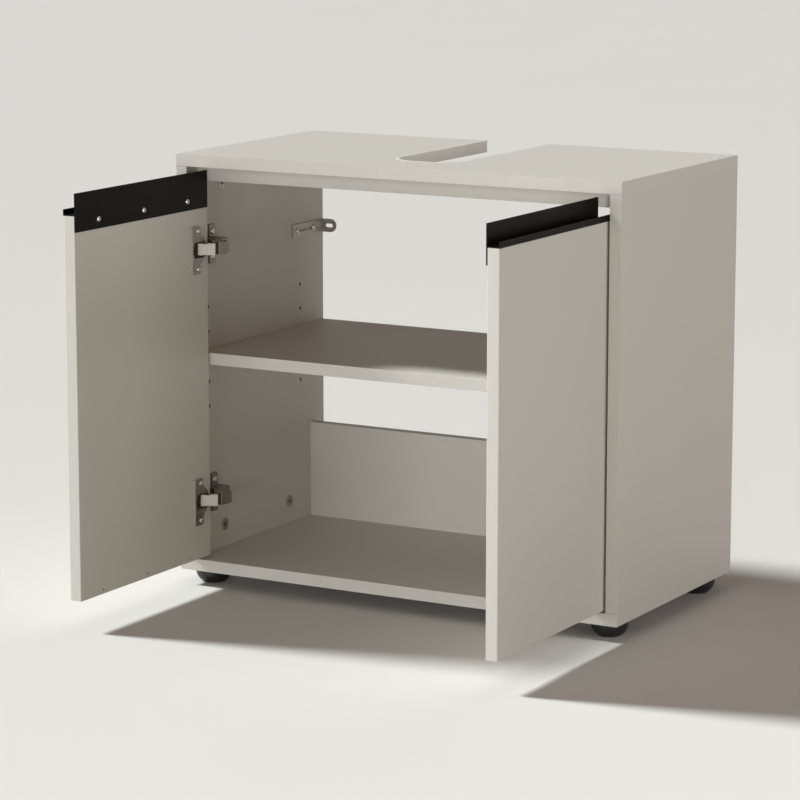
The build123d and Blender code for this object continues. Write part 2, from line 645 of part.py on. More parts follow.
for side, hand in sides.items():
    out_of_door, into_door = (-hand, 0, 0), (hand, 0, 0)
    face_x, back_x = side_x(hand, door_face), side_x(hand, door_back)

    with BuildPart() as door:
        block((face_x, back_x), (door_y(door_width), door_y(0)), (door_bottom, door_top))
        fillet(door.edges().filter_by(Axis.Z), radius=door_edge_round)
        for cup_z in hinge_rows.values():
            bore((back_x, door_y(cup_centre), cup_z), into_door, cup_radius, cup_depth + fit)
            for offset in (-cup_screw_spacing / 2, cup_screw_spacing / 2):
                start = (back_x, door_y(cup_screw_column), cup_z + offset)
                bore(start, into_door, cup_screw_radius, cup_screw_bite + fit)
        for column in grip_screw_columns:
            start = (back_x, door_y(column), grip_screw_z)
            bore(start, into_door, grip_screw_radius, grip_screw_bite + fit)
            start = (back_x, door_y(column), door_bottom + pilot_rise)
            rod(start, into_door, pilot_radius, pilot_depth, mode=Mode.SUBTRACT)
    door.part.label = f"{side}_door"
    export_step(door.part, f"parts/{side}_door.step")

    with BuildPart() as grip_profile:
        # In this plane X is the inset from the side panel, and Y runs up on the right door only.
        section_plane = Plane((side_x(hand, 0), door_y(door_width), 0), out_of_door, (0, 1, 0))
        plate_z = (door_top - grip_plate_overlap, door_top + grip_plate_rise)
        lip_inset = door_face - grip_lip_proud
        with BuildSketch(section_plane):
            for u_ends, z_ends in (
                ((door_back, door_back + grip_sheet), plate_z),
                ((lip_inset, door_back + grip_sheet), (door_top, door_top + grip_sheet)),
                ((lip_inset, lip_inset + grip_sheet), (door_top, door_top + grip_lip_rise)),
            ):
                with Locations((sum(u_ends) / 2, hand * sum(z_ends) / 2)):
                    Rectangle(u_ends[1] - u_ends[0], z_ends[1] - z_ends[0])
        extrude(amount=door_width - grip_end_inset)
        if side == "right":
            block(
                (side_x(hand, door_back - grip_sheet), side_x(hand, door_back + 2 * grip_sheet)),
                (door_y(grip_notch), door_y(0)),
                (door_top + grip_sheet, plate_z[1]),
                mode=Mode.SUBTRACT,
            )
        for column in grip_screw_columns:
            start = (side_x(hand, door_back + grip_sheet), door_y(column), grip_screw_z)
            bore(start, into_door, grip_screw_radius, grip_sheet)
    grip_profile.part.label = f"{side}_grip_profile"
    export_step(grip_profile.part, f"parts/{side}_grip_profile.step")

    with BuildPart() as grip_screws:
        for column in grip_screw_columns:
            seat = (side_x(hand, door_back + grip_sheet), door_y(column), grip_screw_z)
            rod(seat, out_of_door, grip_screw_head_radius, grip_screw_head)
            rod(seat, into_door, grip_screw_radius, grip_sheet + grip_screw_bite)
    grip_screws.part.label = f"{side}_grip_screws"
    export_step(grip_screws.part, f"parts/{side}_grip_screws.step")

    # ============================================================ cup hinges, door half
    for level, cup_z in hinge_rows.items():
        with BuildPart() as hinge_cup:
            flange_plane = Plane((back_x, door_y(0), cup_z), (0, -1, 0), out_of_door)
            with BuildSketch(flange_plane):
                with BuildLine():
                    upper = [
                        (cup_flange_far, cup_flange_height / 2),
                        (cup_ear_near, cup_flange_height / 2),
                        (cup_ear_near, cup_ear_foot / 2),
                        (cup_neck_near, cup_neck_height / 2),
                    ]
                    lower = [(distance, -height) for distance, height in reversed(upper)]
                    Polyline(upper + lower, close=True)
                make_face()
                ear_corners = vertices().group_by(Axis.Y)[0] + vertices().group_by(Axis.Y)[-1]
                fillet(ear_corners, radius=cup_corner)
            extrude(amount=cup_flange)
            rod((back_x, door_y(cup_centre), cup_z), into_door, cup_radius, cup_depth)
            with BuildSketch(flange_plane.offset(cup_flange)):
                with Locations((cup_centre, 0)):
                    Circle(cup_radius - cup_wall)
                    Rectangle(2 * cup_radius, cup_slot_height, mode=Mode.INTERSECT)
            extrude(amount=-(cup_flange + cup_depth - cup_wall), mode=Mode.SUBTRACT)
            for offset in (-cup_screw_spacing / 2, cup_screw_spacing / 2):
                start = (side_x(hand, door_back + cup_flange), door_y(cup_screw_column), cup_z + offset)
                bore(start, into_door, cup_screw_radius, cup_flange)
        hinge_cup.part.label = f"{side}_{level}_hinge_cup"
        export_step(hinge_cup.part, f"parts/{side}_{level}_hinge_cup.step")

    with BuildPart() as cup_screws:
        for row in hinge_rows.values():
            for offset in (-cup_screw_spacing / 2, cup_screw_spacing / 2):
                cup_screw_z = row + offset
                seat = (side_x(hand, door_back + cup_flange), door_y(cup_screw_column), cup_screw_z)
                rod(seat, out_of_door, cup_screw_head_radius, cup_screw_head)
                rod(seat, into_door, cup_screw_radius, cup_flange + cup_screw_bite)
    cup_screws.part.label = f"{side}_cup_screws"
    export_step(cup_screws.part, f"parts/{side}_cup_screws.step")

# ================================================================ cup hinges, links
link_turn = radians(link_open_angle)

for side, hand in sides.items():
    along = (-hand * cos(link_turn), sin(link_turn), 0)
    pivot_x, pivot_y = side_x(hand, pivot_inset), depth_y(pivot_depth)

    def link_point(reach, rise, z):
        """A point on the link: along it from its pivot, and off that line towards the web."""
        x = pivot_x + reach * along[0] + rise * hand * along[1]
        y = pivot_y + reach * along[1] - rise * hand * along[0]
        return (x, y, z)

    for level, link_z in hinge_rows.items():
        with BuildPart() as hinge_link:
            web_under = link_web - link_sheet
            web_normal = Vector(link_point(0, 1, 0)) - Vector(link_point(0, 0, 0))
            web_plane = Plane(link_point(0, web_under, link_z), along, web_normal)
            with BuildSketch(web_plane):
                with BuildLine():
                    ends = (-link_tail, link_length)
                    top, waist = link_height / 2, link_waist / 2
                    middle = sum(ends) / 2
                    ThreePointArc((ends[0], top), (middle, waist), (ends[1], top))
                    Line((ends[1], top), (ends[1], -top))
                    ThreePointArc((ends[1], -top), (middle, -waist), (ends[0], -top))
                    Line((ends[0], -top), (ends[0], top))
                make_face()
            extrude(amount=link_sheet)
            for flip in (-1, 1):
                z_ends = sorted((link_z + flip * top, link_z + flip * (top - link_sheet)))
                heel = [
                    (-link_tail, web_under),
                    (-link_tail, -link_heel + link_sheet),
                    (-link_tail + link_sheet, -link_heel),
                    (link_cheek - link_sheet, -link_heel),
                    (link_cheek, -link_heel + link_sheet),
                    (link_cheek, web_under),
                ]
                toe = [
                    (link_toe_start, web_under),
                    (link_toe_start, link_toe),
                    (link_toe_end, link_toe),
                    (link_toe_end, web_under),
                ]
                with BuildSketch(Plane.XY.offset(z_ends[0])):
                    for corners in (heel, toe):
                        Polygon(*[link_point(*corner, 0)[:2] for corner in corners], align=None)
                extrude(amount=z_ends[1] - z_ends[0])
            start = (pivot_x, pivot_y, link_z - top)
            rod(start, (0, 0, 1), link_pin_radius + fit, link_height, mode=Mode.SUBTRACT)
            bore(
                link_point(link_toe_pin_reach, link_toe_pin_rise, link_z - top),
                (0, 0, 1),
                link_toe_pin_radius,
                link_height,
            )
        hinge_link.part.label = f"{side}_{level}_hinge_link"
        export_step(hinge_link.part, f"parts/{side}_{level}_hinge_link.step")

    with BuildPart() as link_pins:
        for row in hinge_rows.values():
            start = link_point(link_toe_pin_reach, link_toe_pin_rise, row - link_height / 2)
            rod(start, (0, 0, 1), link_toe_pin_radius, link_height)
    link_pins.part.label = f"{side}_link_pins"
    export_step(link_pins.part, f"parts/{side}_link_pins.step")

# ================================================================ where the moving pieces turn
for side, hand in sides.items():
    swing_at = (side_x(hand, swing_inset), depth_y(swing_depth))
    link_at = (side_x(hand, pivot_inset), depth_y(pivot_depth))
    print(f"{side} door swings about x, y = {swing_at}")
    print(f"{side} links turn {link_closed_angle - link_open_angle} degrees about x, y = {link_at}")
print("footprint from", front_y + open_retract - door_width, "to", back_y, "height", lid_top + trim_rise)
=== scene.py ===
# %% [markdown]
# # Base cabinet with two open doors
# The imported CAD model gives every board, hinge and screw at its real place and size. This
# notebook gives it its looks: softened edges, melamine, black coating, nickel and zinc,
# the shaped heads of the screws, and a plain studio around it. Lengths are in metres. Only
# the screws are worked out in millimetres, and scaled as they are set in place.

# %% Frame
import json
from math import cos, pi, radians, sin

import bmesh
import bpy
from mathutils import Matrix, Vector


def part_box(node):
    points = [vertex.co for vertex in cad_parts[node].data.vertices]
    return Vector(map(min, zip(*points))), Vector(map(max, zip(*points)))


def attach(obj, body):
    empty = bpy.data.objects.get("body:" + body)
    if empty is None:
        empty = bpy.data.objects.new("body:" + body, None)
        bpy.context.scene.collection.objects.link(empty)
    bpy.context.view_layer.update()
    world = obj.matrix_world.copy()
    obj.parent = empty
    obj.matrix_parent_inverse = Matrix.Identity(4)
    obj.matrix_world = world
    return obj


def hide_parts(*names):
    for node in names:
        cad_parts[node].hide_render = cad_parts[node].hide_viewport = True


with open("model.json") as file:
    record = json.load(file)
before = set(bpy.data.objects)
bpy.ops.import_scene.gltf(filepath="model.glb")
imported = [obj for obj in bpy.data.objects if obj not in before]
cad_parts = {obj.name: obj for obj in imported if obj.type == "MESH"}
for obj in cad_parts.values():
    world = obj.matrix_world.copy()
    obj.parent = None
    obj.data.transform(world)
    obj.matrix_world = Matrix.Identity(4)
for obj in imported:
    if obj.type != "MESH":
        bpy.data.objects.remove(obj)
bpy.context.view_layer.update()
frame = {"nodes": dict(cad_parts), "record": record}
nodes = frame["nodes"]
mm = 0.001
sides = {"left": -1, "right": 1}


# %% [markdown]
# ## Shader sums
# The finishes are formulas over the position on the piece. This class wraps one socket, so
# that a formula reads like ordinary arithmetic and each operator adds its node. The other
# way, placing and linking every node by hand, hides the formula behind its wiring.

# %% Shader sums
class Field:
    """A value in a material's node tree."""

    MIX_COLOURS, MIX_RESULT = (6, 7), 2  # sockets of the Mix node when it mixes colours

    def __init__(self, tree, socket):
        self.tree, self.socket = tree, socket

    def node(self, kind, settings=None, inputs=None, output=0):
        """Any node: its settings first, then values or fields for its sockets."""
        made = self.tree.nodes.new(kind)
        for key, setting in (settings or {}).items():
            setattr(made, key, setting)
        for key, value in (inputs or {}).items():
            if isinstance(value, Field):
                self.tree.links.new(value.socket, made.inputs[key])
            else:
                made.inputs[key].default_value = value
        return Field(self.tree, made.outputs[output])

    def math(self, operation, *values):
        return self.node("ShaderNodeMath", {"operation": operation}, dict(enumerate(values)))

    def __add__(self, other):
        return self.math("ADD", self, other)

    def __sub__(self, other):
        return self.math("SUBTRACT", self, other)

    def __rsub__(self, other):
        return self.math("SUBTRACT", other, self)

    def __mul__(self, other):
        return self.math("MULTIPLY", self, other)

    def __truediv__(self, other):
        return self.math("DIVIDE", self, other)

    __radd__, __rmul__ = __add__, __mul__

    def __abs__(self):
        return self.math("ABSOLUTE", self)

    def root(self):
        return self.math("SQRT", self)

    def least(self, other):
        return self.math("MINIMUM", self, other)

    def most(self, other):
        return self.math("MAXIMUM", self, other)

    def ramp(self, start, end):
        """0 at start, 1 at end, smooth between and flat beyond; start may be the higher one."""
        settings = {"interpolation_type": "SMOOTHSTEP"}
        low, high = min(start, end), max(start, end)
        rising = self.node("ShaderNodeMapRange", settings, {0: self, 1: low, 2: high, 3: 0.0, 4: 1.0})
        return rising if start < end else 1 - rising

    def mix(self, factor, colours, **settings):
        """The Mix node for colours; each is a field or three numbers."""
        inputs = {0: factor}
        for key, colour in zip(self.MIX_COLOURS, colours):
            inputs[key] = colour if isinstance(colour, Field) else (*colour, 1.0)
        return self.node("ShaderNodeMix", {"data_type": "RGBA", **settings}, inputs, self.MIX_RESULT)

    def blend(self, colour, other):
        """The first colour where this is 0, the other where it is 1."""
        return self.mix(self, (colour, other))

    def tint(self, colour, amount):
        """The colour made lighter and darker by this, which varies about a half."""
        gain = (self - 0.5) * (2 * amount) + 1
        grey = self.node("ShaderNodeCombineXYZ", None, {0: gain, 1: gain, 2: gain})
        return self.mix(1.0, (colour, grey), blend_type="MULTIPLY")

    def parts(self):
        split = self.node("ShaderNodeSeparateXYZ", None, {0: self})
        return [Field(self.tree, socket) for socket in split.socket.node.outputs]

    def stretched(self, scale):
        return self.node("ShaderNodeVectorMath", {"operation": "MULTIPLY"}, {0: self, 1: scale})

    def noise(self, scale, detail):
        return self.node("ShaderNodeTexNoise", None, {"Vector": self, "Scale": scale, "Detail": detail})

    def cells(self, scale, output="Distance"):
        return self.node("ShaderNodeTexVoronoi", None, {"Vector": self, "Scale": scale}, output)

    def shown(self):
        """1 for rays that show the surround, 0 for the light that it sends to the object."""
        rays = [f"Is {kind} Ray" for kind in ("Camera", "Glossy", "Transmission")]
        fields = [self.node("ShaderNodeLightPath", None, None, ray) for ray in rays]
        return fields[0].most(fields[1]).most(fields[2])

    def bump(self, distance, strength):
        inputs = {"Height": self, "Distance": distance, "Strength": strength}
        return self.node("ShaderNodeBump", None, inputs)


print("shader sums ready")

# %% [markdown]
# ## Materials from recipes
# A recipe is a function that takes the position on the piece and returns what varies over
# it. One function turns any recipe into a material, and another puts a material on a piece.
# The scale of a noise or of cells is in repeats per metre, so 1400 gives specks of 0.7 mm.


# %% Materials from recipes
def new_material(name, recipe, **constants):
    """recipe(position) gives a dictionary of varying inputs; the constants go straight on."""
    made = bpy.data.materials.new(name)
    made.use_nodes = True
    tree = made.node_tree
    shader = tree.nodes["Principled BSDF"]
    coordinates = tree.nodes.new("ShaderNodeTexCoord")
    for key, value in constants.items():
        shader.inputs[key].default_value = value
    for key, field in recipe(Field(tree, coordinates.outputs["Object"])).items():
        tree.links.new(field.socket, shader.inputs[key])
    return made


def wear(node, material):
    """Puts one material on all the slots of a CAD piece."""
    for slot in nodes[node].material_slots:
        slot.material = material


print("material tools ready")

# %% [markdown]
# ## Melamine boards
# Each board is chipboard under a printed, finely pebbled melamine face, with a plastic band
# about 1 mm thick glued on its narrow edges; the bands at the front carry a painted highlight.
# The distance to the board's own six faces tells band from face and shows raw chipboard in
# the bores, so one recipe serves every board. A painted image would do the same, but it
# would need a layout for each board.

# %% Colours and sizes of the boards
grey_melamine = (0.650, 0.612, 0.556)
# The front band colour is a painted highlight: lighter than the other bands, for the light that falls
# on the front.
grey_band, front_band_highlight = (0.654, 0.618, 0.562), (0.684, 0.648, 0.594)
rubbed_band = (0.735, 0.712, 0.655)
glue_line, joint_line = (0.500, 0.475, 0.432), (0.400, 0.372, 0.325)
# rail_shade is the colour of a painted shade on the rail under the top board.
rail_shade, lip_tone = (0.480, 0.447, 0.398), (0.780, 0.752, 0.705)
raw_chips, dark_chips = (0.330, 0.215, 0.115), (0.150, 0.090, 0.045)
band_thickness, skin_thickness = 1.0 * mm, 0.5 * mm
seam_half_width, joint_height = 0.14 * mm, 0.8 * mm
rail_shade_height, lip_width = 11.0 * mm, 3.0 * mm
cutout_half_width, cutout_radius, cutout_front = 46.0 * mm, 36.0 * mm, 40.25 * mm
rubbed_share = 0.45
chip_scale = 420.0
melamine_relief, melamine_ior = 0.05 * mm, 1.48
boards = ["top_board", "bottom_board", "shelf", "front_rail", "rear_strip"]
boards += [f"{side}_{board}" for side in sides for board in ("side_panel", "door")]
print(len(boards), "boards to dress")

# %% [markdown]
# A few boards have something of their own. The side panels show a thin dark joint where
# their front edges meet the top and the bottom board, the rail has a painted shade at its top
# under the top board, and the cut-out's lining has a pale lip lying flush in the top board.


# %% Melamine boards
def off_cutout(x, y):
    """How far outside the cut-out a place on the top board lies."""
    aside = (abs(x) - (cutout_half_width - cutout_radius)).most(0.0)
    ahead = (cutout_front + cutout_radius - y).most(0.0)
    return (aside * aside + ahead * ahead).root() - cutout_radius


def board_recipe(board, low, high):
    centre, half = (low + high) / 2, (high - low) / 2
    thin = min(range(3), key=lambda axis: half[axis])

    def recipe(place):
        x, y, z = place.parts()
        deep = [half[axis] - abs(part - centre[axis]) for axis, part in enumerate((x, y, z))]
        wide = [deep[axis] for axis in range(3) if axis != thin]
        to_band = wide[0].least(wide[1])
        inside = to_band.least(deep[thin])
        to_arris = to_band.most(wide[0].most(wide[1]).least(deep[thin]).least(to_band.most(deep[thin])))
        clouds = place.noise(2.6, 2.0)
        smudges = place.noise(11.0, 5.0)
        speckle = place.noise(1400.0, 1.0)
        pebbles = place.cells(1500.0)
        band = to_band.ramp(band_thickness * 1.05, band_thickness * 0.95)
        front = (y - low.y).ramp(band_thickness * 1.2, band_thickness * 0.9)
        seam = (abs(to_band - band_thickness) / seam_half_width).ramp(1.0, 0.0)
        patches = place.noise(160.0, 4.0).ramp(0.42, 0.68)
        rubbed = to_arris.ramp(0.9 * mm, 0.2 * mm) * patches * rubbed_share
        bore = inside.ramp(skin_thickness, skin_thickness * 1.4)
        face = speckle.tint(clouds.tint(grey_melamine, 0.020), 0.045)
        grain = place.stretched((1.0, 1.0, 0.2)).noise(500.0, 2.0)
        # painted highlight: the front bands are lighter to stand for the light on the front faces
        edge = grain.tint(front.blend(grey_band, front_band_highlight), 0.030)
        chips = place.cells(chip_scale, "Color").parts()[0].blend(raw_chips, dark_chips)
        colour = rubbed.blend(seam.blend(band.blend(face, edge), glue_line), rubbed_band)
        if board.endswith("side_panel"):
            joint = front * deep[2].ramp(joint_height, joint_height / 2)
            colour = joint.blend(colour, joint_line)
        if board == "front_rail":
            # painted shade: the rail grows darker towards its top, where the top board shades it
            colour = (high.z - z).ramp(rail_shade_height, 0.0).blend(colour, rail_shade)
        if board == "top_board":
            upper = (high.z - z).ramp(skin_thickness * 1.2, skin_thickness * 0.8)
            lip = upper * off_cutout(x, y).ramp(lip_width, lip_width * 0.9)
            colour = lip.blend(colour, lip_tone)
        pebble_height = (1 - band) * pebbles * 0.5 + place.noise(60.0, 2.0) * 0.5 - seam * 0.6
        height = pebble_height + bore * place.cells(chip_scale) * 6.0
        return {
            "Base Color": bore.blend(colour, chips),
            "Roughness": 0.47 + (smudges - 0.5) * 0.16 - band * 0.07 + bore * 0.35,
            "Normal": height.bump(melamine_relief, 0.55),
        }

    return recipe


for board in boards:
    recipe = board_recipe(board, *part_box(board))
    wear(board, new_material(f"melamine {board}", recipe, IOR=melamine_ior))
print(len(boards), "boards in melamine")

# %% [markdown]
# ## Black grip profiles
# The profiles are extruded aluminium with a matte black powder coat. The coat has a fine
# orange peel, faint lines along the extrusion, and goes grey where hands touch its top
# edges. The heights of those edges come from the piece, so the wear sits on them.

# %% Black grip profiles
coat_black, coat_rubbed = (0.0050, 0.0040, 0.0024), (0.045, 0.043, 0.039)
coat_relief, coat_ior = 0.035 * mm, 1.18
grip_plate_rise, grip_lip_rise = 27.0 * mm, 7.5 * mm
out_of_reach = 10.0 * mm


def profile_recipe(low, high):
    lip_top = high.z - (grip_plate_rise - grip_lip_rise)
    plate_x = min(low.x, high.x, key=abs)

    def recipe(place):
        x, _, z = place.parts()
        off_plate = abs(x - plate_x).ramp(4.0 * mm, 6.0 * mm)
        to_edge = abs(z - high.z).least(abs(z - lip_top) + (1 - off_plate) * out_of_reach)
        patches = place.noise(70.0, 4.0)
        rubbed = to_edge.ramp(1.4 * mm, 0.1 * mm) * patches.ramp(0.50, 0.72)
        dust = place.noise(18.0, 5.0)
        peel = place.noise(2600.0, 2.0)
        lines = place.stretched((1.0, 0.02, 1.0)).noise(900.0, 2.0)
        return {
            "Base Color": rubbed.blend(dust.tint(coat_black, 0.22), coat_rubbed),
            "Roughness": 0.46 + (dust - 0.5) * 0.20 + (patches - 0.5) * 0.08 - rubbed * 0.10,
            "Normal": (peel * 0.7 + lines * 0.3).bump(coat_relief, 0.6),
        }

    return recipe


for side in sides:
    profile = f"{side}_grip_profile"
    recipe = profile_recipe(*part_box(profile))
    wear(profile, new_material(f"black coat {side}", recipe, IOR=coat_ior))
print("grip profiles coated")

# %% [markdown]
# ## Hinge steel
# The hinges are nickel-plated pressed steel, with soft clouds, rolling streaks and dull
# spots. The cups and the arms need a recipe of their own: the flange of a cup has a painted
# highlight on its cut edges and the cup itself is duller, and the ends of an arm's rivet are black.

# %% Hinge steel
nickel_tones = (0.212, 0.191, 0.160), (0.140, 0.127, 0.105)
# cut_edge_highlight is a painted highlight for the cut edges of the cup flanges.
cut_edge_highlight, cup_nickel, rivet_black = (0.46, 0.44, 0.40), (0.34, 0.315, 0.275), (0.030, 0.028, 0.025)
plating_relief = 0.006 * mm
cup_face_x, flange_depth = 271.2 * mm, 3.3 * mm
cheek_half_height = 7.6 * mm


def plated(colour, dark, roughness):
    """Plated steel: soft clouds in the plating, fine rolling streaks and a few dull spots."""

    def recipe(place):
        clouds = place.noise(55.0, 3.0)
        streaks = place.stretched((0.12, 0.12, 1.0)).noise(1100.0, 3.0)
        spots = place.noise(420.0, 5.0).ramp(0.62, 0.76)
        return {
            "Base Color": spots.blend(clouds.tint(colour, 0.08), dark),
            "Roughness": roughness + (clouds - 0.5) * 0.12 + (streaks - 0.5) * 0.10 + spots * 0.10,
            "Normal": (streaks * 0.5 + place.noise(900.0, 2.0) * 0.5).bump(plating_relief, 0.4),
        }

    return recipe


def cup_recipe(face_x):
    """The cup's flange as plated, its cut edges lighter as a painted highlight, and the cup itself
    duller.
    """

    def recipe(place):
        looks = plated(*nickel_tones, 0.26)(place)
        depth = abs(place.parts()[0] - face_x)
        above_door = depth.ramp(flange_depth + 0.05 * mm, flange_depth - 0.15 * mm)
        # painted highlight: the flange's cut edges are lighter, standing for the light they catch
        cut = depth.ramp(0.15 * mm, 0.35 * mm) * above_door
        inner = depth.ramp(flange_depth, flange_depth + 0.3 * mm)
        looks["Base Color"] = inner.blend(cut.blend(looks["Base Color"], cut_edge_highlight), cup_nickel)
        looks["Roughness"] = looks["Roughness"] + cut * 0.22 + inner * 0.22
        looks["Metallic"] = 0.5 - inner * 0.35 - cut * 0.2
        return looks

    return recipe


def arm_recipe(low, high):
    """The arm as plated, with the blackened ends of its rivet above and below the cheeks."""

    def recipe(place):
        looks = plated(*nickel_tones, 0.24)(place)
        rise = abs(place.parts()[2] - (low.z + high.z) / 2)
        rivet = rise.ramp(cheek_half_height + 0.05 * mm, cheek_half_height + 0.2 * mm)
        looks["Base Color"] = rivet.blend(looks["Base Color"], rivet_black)
        return looks

    return recipe


print("hinge recipes ready")

# %% [markdown]
# ## Castings, plastics and wood
# The cam housings are a dull zinc casting with painted shade in the cross recess of its face,
# the glides and the lining of the cut-out are moulded plastic, and the dowels are beech. Each
# recipe varies colour and roughness at the scale of its making: casting grain, mould texture or growth.

# %% Castings, plastics and wood
# recess_shade is the colour of a painted shade in the cam's cross recess.
cast_grey, cast_dark, recess_shade = (0.46, 0.435, 0.395), (0.30, 0.285, 0.255), (0.045, 0.042, 0.036)
cam_face_x = 291.9 * mm
beech_dark, beech_light, beech_fleck = (0.56, 0.36, 0.20), (0.68, 0.48, 0.29), (0.36, 0.21, 0.11)
coarse_relief = 0.05 * mm


def cast_zinc(place):
    grain = place.cells(1900.0)
    stains = place.noise(240.0, 4.0)
    # painted shade: the cross recess in the face is darkened where shade falls in it
    cross = abs(place.parts()[0]).ramp(cam_face_x + 0.2 * mm, cam_face_x + 0.4 * mm)
    return {
        "Base Color": cross.blend(stains.ramp(0.35, 0.75).blend(cast_grey, cast_dark), recess_shade),
        "Roughness": 0.44 + (stains - 0.5) * 0.25,
        "Normal": (grain * 0.5 + stains * 0.5).bump(coarse_relief, 0.6),
    }


def moulded(colour, roughness, grain_scale, grain_height):
    """Moulded plastic: an even grain, a little flow shading and light scuffs."""

    def recipe(place):
        flow = place.noise(35.0, 2.0)
        scuffs = place.stretched((1.0, 1.0, 0.15)).noise(260.0, 5.0).ramp(0.60, 0.80)
        lighter = tuple(min(1.0, part * 1.25 + 0.02) for part in colour)
        return {
            "Base Color": scuffs.blend(flow.tint(colour, 0.06), lighter),
            "Roughness": roughness + (flow - 0.5) * 0.10 + scuffs * 0.12,
            "Normal": place.cells(grain_scale).bump(grain_height, 0.5),
        }

    return recipe


def beech(place):
    grain = place.stretched((1.0, 1.0, 0.05)).noise(700.0, 4.0)
    flecks = place.stretched((1.0, 1.0, 0.2)).noise(2500.0, 2.0).ramp(0.55, 0.70)
    return {
        "Base Color": flecks.blend(grain.blend(beech_dark, beech_light), beech_fleck),
        "Roughness": 0.62 + (grain - 0.5) * 0.2,
        "Normal": grain.bump(coarse_relief, 0.6),
    }


print("other recipes ready")

# %% [markdown]
# ## Finishes on their pieces
# Every piece names its material slot in the record, and most slots have one finish. The
# links of the hinges are polished brighter than their arms, and cups and arms get the
# recipes that know their own place.

# %% Finishes on their pieces
link_tones = (0.53, 0.495, 0.435), (0.44, 0.41, 0.36)
screw_tones = (0.70, 0.675, 0.625), (0.45, 0.43, 0.39)
bracket_tones = (0.340, 0.310, 0.270), (0.215, 0.196, 0.170)
glide_tone, lining_tone = (0.012, 0.012, 0.011), (0.930, 0.905, 0.860)
nickel = new_material("nickel", plated(*nickel_tones, 0.30), Metallic=0.5)
bright_nickel = new_material("bright nickel", plated(*link_tones, 0.42), Metallic=0.5)
bright_zinc = new_material("bright zinc", plated(*screw_tones, 0.22), Metallic=0.9)
dull_zinc = new_material("bracket zinc", plated(*bracket_tones, 0.36), Metallic=0.7)
dark_cast = new_material("cast zinc", cast_zinc, Metallic=1.0)
glide_black = new_material("glide plastic", moulded(glide_tone, 0.42, 1800.0, coarse_relief))
pale_lining = new_material("lining plastic", moulded(lining_tone, 0.33, 2400.0, 0.01 * mm))
finish_of_slot = {
    "edge_trim": pale_lining,
    "hinge_nickel": nickel,
    "screw_steel": bright_zinc,
    "zinc_steel": dull_zinc,
    "cam_zinc": dark_cast,
    "glide_plastic": glide_black,
    "dowel_wood": new_material("beech", beech),
}
for entry in frame["record"]["subparts"]:
    if entry["material_slot"] in finish_of_slot:
        wear(entry["node"], finish_of_slot[entry["material_slot"]])
for side, hand in sides.items():
    cup_finish = new_material(f"cup nickel {side}", cup_recipe(hand * cup_face_x))
    for level in ("upper", "lower"):
        hinge = f"{side}_{level}_hinge"
        recipe = arm_recipe(*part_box(f"{hinge}_arm"))
        wear(f"{hinge}_arm", new_material(f"arm nickel {side} {level}", recipe, Metallic=0.5))
        wear(f"{hinge}_link", bright_nickel)
        wear(f"{hinge}_cup", cup_finish)
print(len(finish_of_slot), "other finishes")

# %% [markdown]
# ## Softened edges
# Boards have a hair of a round where the band is trimmed, sheet metal a rolled edge and
# mouldings a small radius. The CAD mesh is loose triangles, so a weld joins them, a planar
# dissolve makes whole faces of them, and a bevel rounds what is left of the edges, all
# without touching the mesh. Hardened normals keep the flat faces flat up to their rounds.

# %% Softened edges
edge_rounds = {
    "carcass_melamine": (0.22 * mm, 2),
    "door_melamine": (0.30 * mm, 2),
    "black_profile": (0.35 * mm, 2),
    "hinge_nickel": (0.30 * mm, 2),
    "zinc_steel": (0.35 * mm, 2),
    "cam_zinc": (0.18 * mm, 2),
    "glide_plastic": (0.60 * mm, 3),
}
weld_distance = 0.01 * mm
flat_within, edge_beyond = radians(0.5), radians(35)
for entry in frame["record"]["subparts"]:
    if entry["material_slot"] not in edge_rounds:
        continue
    piece = nodes[entry["node"]]
    weld = piece.modifiers.new("weld", "WELD")
    weld.merge_threshold = weld_distance
    flat = piece.modifiers.new("flat", "DECIMATE")
    flat.decimate_type = "DISSOLVE"
    flat.angle_limit = flat_within
    bevel = piece.modifiers.new("round", "BEVEL")
    bevel.width, bevel.segments = edge_rounds[entry["material_slot"]]
    bevel.limit_method = "ANGLE"
    bevel.angle_limit = edge_beyond
    bevel.use_clamp_overlap = True
    bevel.harden_normals = True
print("edges softened on", sum(len(piece.modifiers) > 0 for piece in nodes.values()), "pieces")

# %% [markdown]
# ## Screw heads
# The CAD screws are plain discs on shanks. The real ones are pan heads with a cross recess.
# Half of a head's outline is spun about its axis, and a tapered cross is cut out with a
# boolean, because a cutter gives the recess its true walls and floor.

# %% Screw heads
head_steps, merge_distance = 40, 0.002
recess_taper = (0.62, 0.70, 1.0)


def spun(outline):
    """A closed solid from half of its outline, given as radius and height."""
    shape = bmesh.new()
    points = [shape.verts.new((radius, 0.0, height)) for radius, height in outline]
    profile = [shape.edges.new(pair) for pair in zip(points, points[1:])]
    sweep = {"cent": (0, 0, 0), "axis": (0, 0, 1), "angle": 2 * pi, "steps": head_steps}
    bmesh.ops.spin(shape, geom=points + profile, use_merge=True, **sweep)
    bmesh.ops.remove_doubles(shape, verts=shape.verts, dist=merge_distance)
    bmesh.ops.recalc_face_normals(shape, faces=shape.faces)
    return shape


def mesh_of(shape, name):
    mesh = bpy.data.meshes.new(name)
    shape.to_mesh(mesh)
    shape.free()
    return mesh


def cross_cutter(arm, width, top, depth):
    """Two crossed bars that taper towards the floor of the recess."""
    shape = bmesh.new()
    for turn in (0.0, pi / 2):
        bar = bmesh.ops.create_cube(shape, size=1.0)["verts"]
        bmesh.ops.scale(shape, vec=(2 * arm, width, depth * 2), verts=bar)
        bmesh.ops.translate(shape, vec=(0, 0, top), verts=bar)
        low = [corner for corner in bar if corner.co.z < top]
        bmesh.ops.scale(shape, vec=recess_taper, verts=low)
        bmesh.ops.rotate(shape, cent=(0, 0, 0), matrix=Matrix.Rotation(turn, 3, "Z"), verts=bar)
    return shape


